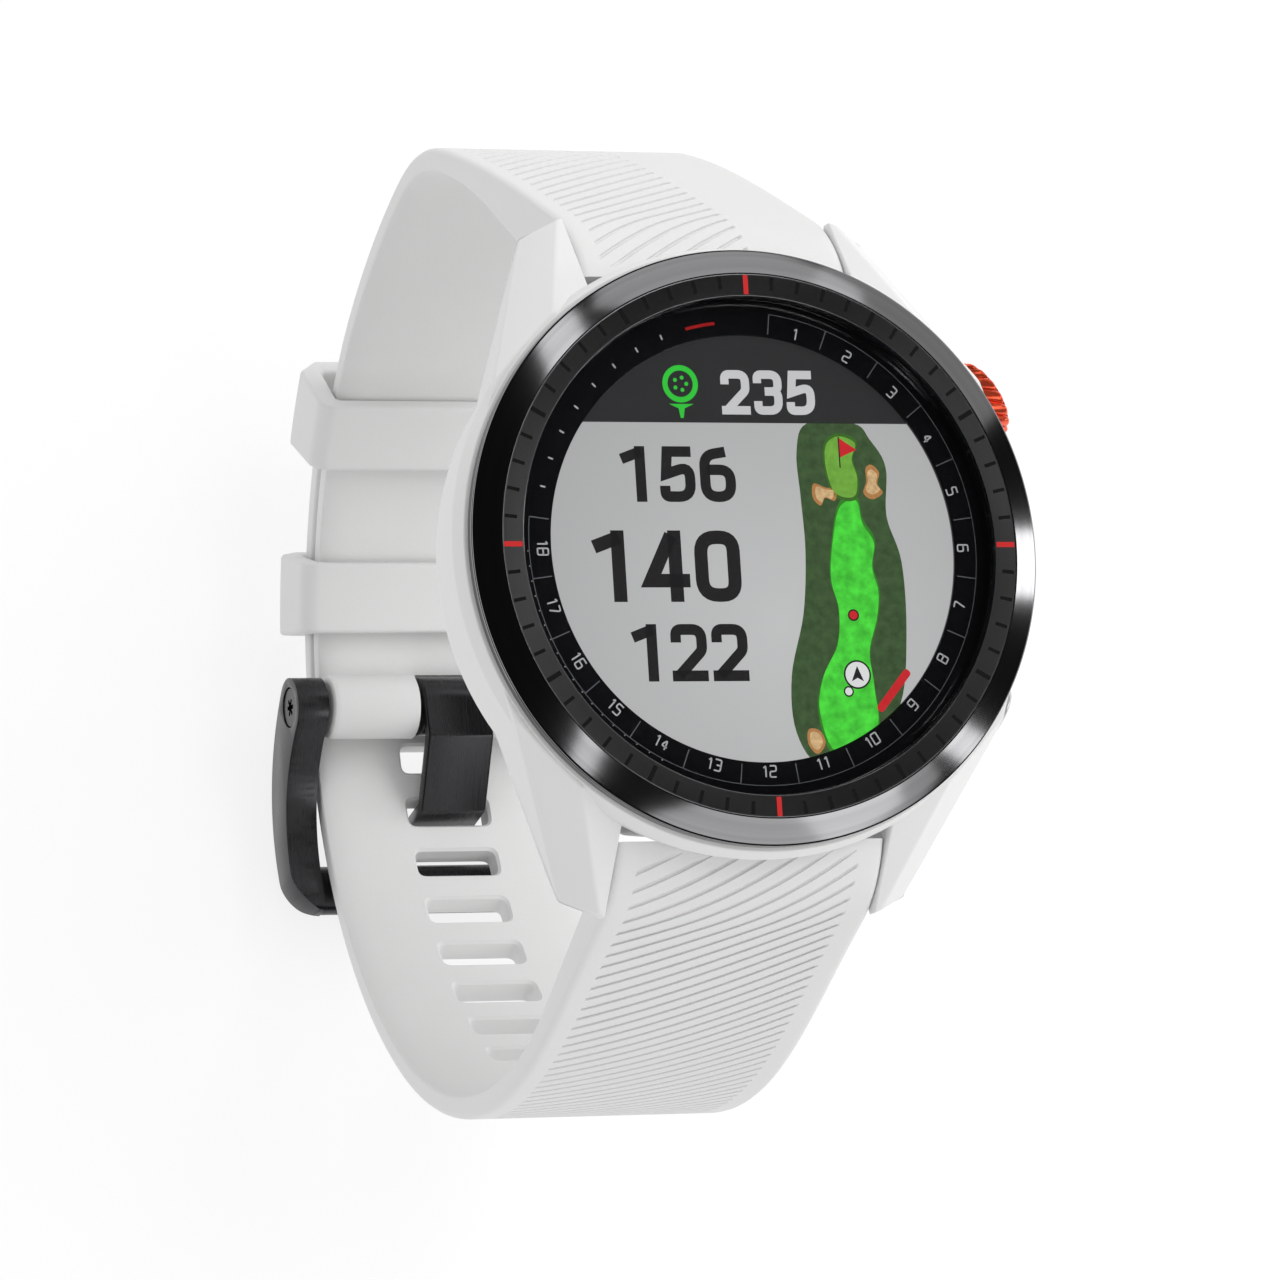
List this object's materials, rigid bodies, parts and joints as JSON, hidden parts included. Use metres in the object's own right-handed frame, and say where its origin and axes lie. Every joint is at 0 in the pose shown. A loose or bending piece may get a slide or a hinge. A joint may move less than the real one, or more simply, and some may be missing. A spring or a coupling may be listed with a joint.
{
  "type": "golf gps watch",
  "caption": "Round sports watch with a steel tick bezel, lit course map screen, side buttons and a buckled grooved silicone strap.",
  "frame": {"origin": "centre of the flat case back, on the watch's centre line", "axes": "+Z out of the dial, +Y towards 12 o'clock, +X towards 3 o'clock and the buttons"},
  "size_m": [0.0479, 0.0789, 0.0795],
  "materials": {
    "case_polymer": "matte, very fine moulded grain",
    "bezel_steel": "polished cone, brushed tick ring",
    "lens_glass": "clear, flat, polished",
    "dial_ring_print": "gloss black with printed ring",
    "display": "lit screen under glass",
    "inner_plastic": "moulded black",
    "circuit_board": "solder mask",
    "screw_steel": "plain stainless",
    "battery_foil": "foil pouch",
    "antenna_ceramic": "fired ceramic",
    "sensor_glass": "smoked, polished",
    "back_polymer": "fine matte",
    "seal_rubber": "soft black",
    "contact_gold": "gold flash",
    "strap_silicone": "matte silicone, moulded grooves",
    "slider_steel": "stamped stainless",
    "buckle_black": "black plated, brushed",
    "button_red": "red anodised, satin",
    "button_silver": "satin stainless"
  },
  "bodies": {
    "root": {"case": "case_polymer", "bezel": "bezel_steel", "front_lens": "lens_glass", "dial_ring": "dial_ring_print", "display_panel": "display", "display_frame": "inner_plastic", "inner_chassis": "inner_plastic", "main_board": "circuit_board", "board_screws": "screw_steel", "battery": "battery_foil", "gps_antenna": "antenna_ceramic", "vibration_motor": "screw_steel", "buzzer": "inner_plastic", "heart_rate_sensor": "circuit_board", "sensor_window": "sensor_glass", "back_cover": "back_polymer", "back_gasket": "seal_rubber", "back_screws": "screw_steel", "charge_port_insulator": "inner_plastic", "charge_contacts": "contact_gold", "lug_pin_12": "screw_steel", "lug_pin_6": "screw_steel", "strap_12": "strap_silicone", "strap_6": "strap_silicone", "buckle_bar": "buckle_black", "buckle_bar_screws": "buckle_black", "button_sleeve_upper": "screw_steel", "button_sleeve_middle": "screw_steel", "button_sleeve_lower": "screw_steel", "button_switch_upper": "inner_plastic", "button_switch_middle": "inner_plastic", "button_switch_lower": "inner_plastic"},
    "button_upper": {"button_upper": "button_red", "button_seal_upper": "seal_rubber"},
    "button_middle": {"button_middle": "button_silver", "button_seal_middle": "seal_rubber"},
    "button_lower": {"button_lower": "button_silver", "button_seal_lower": "seal_rubber"},
    "release_slider_12": {"release_slider_12": "slider_steel"},
    "release_slider_6": {"release_slider_6": "slider_steel"},
    "keeper_upper": {"keeper_upper": "strap_silicone"},
    "keeper_lower": {"keeper_lower": "strap_silicone"},
    "buckle_frame": {"buckle_frame": "buckle_black"},
    "buckle_tongue": {"buckle_tongue": "buckle_black"}
  },
  "joints": [
    {"name": "press_upper", "type": "slide", "parent": "root", "child": "button_upper", "axis": [-0.866, -0.5, 0], "range_m": [0, 0.0006], "stiffness_N_per_m": 1000, "springref_m": -0.0006},
    {"name": "press_middle", "type": "slide", "parent": "root", "child": "button_middle", "axis": [-1, 0, 0], "range_m": [0, 0.0006], "stiffness_N_per_m": 1000, "springref_m": -0.0006},
    {"name": "press_lower", "type": "slide", "parent": "root", "child": "button_lower", "axis": [-0.866, 0.5, 0], "range_m": [0, 0.0006], "stiffness_N_per_m": 1000, "springref_m": -0.0006},
    {"name": "release_12", "type": "slide", "parent": "root", "child": "release_slider_12", "axis": [0, 0.5592, -0.829], "range_m": [0, 0.0015], "stiffness_N_per_m": 500, "springref_m": -0.0008},
    {"name": "release_6", "type": "slide", "parent": "root", "child": "release_slider_6", "axis": [0, -0.5446, -0.8387], "range_m": [0, 0.0015], "stiffness_N_per_m": 500, "springref_m": -0.0008},
    {"name": "keeper_upper_slide", "type": "hinge", "parent": "root", "child": "keeper_upper", "pos_m": [0, 0.0005, -0.0223], "axis": [1, 0, 0], "range_deg": [-5, 4]},
    {"name": "keeper_lower_slide", "type": "hinge", "parent": "root", "child": "keeper_lower", "pos_m": [0, 0.0005, -0.0223], "axis": [1, 0, 0], "range_deg": [-4, 5]},
    {"name": "buckle_swing", "type": "hinge", "parent": "root", "child": "buckle_frame", "pos_m": [0, -0.001, -0.058], "axis": [1, 0, 0], "range_deg": [0, 45]},
    {"name": "tongue_play", "type": "hinge", "parent": "root", "child": "buckle_tongue", "pos_m": [0, -0.001, -0.058], "axis": [1, 0, 0], "range_deg": [-5, 0]}
  ]
}
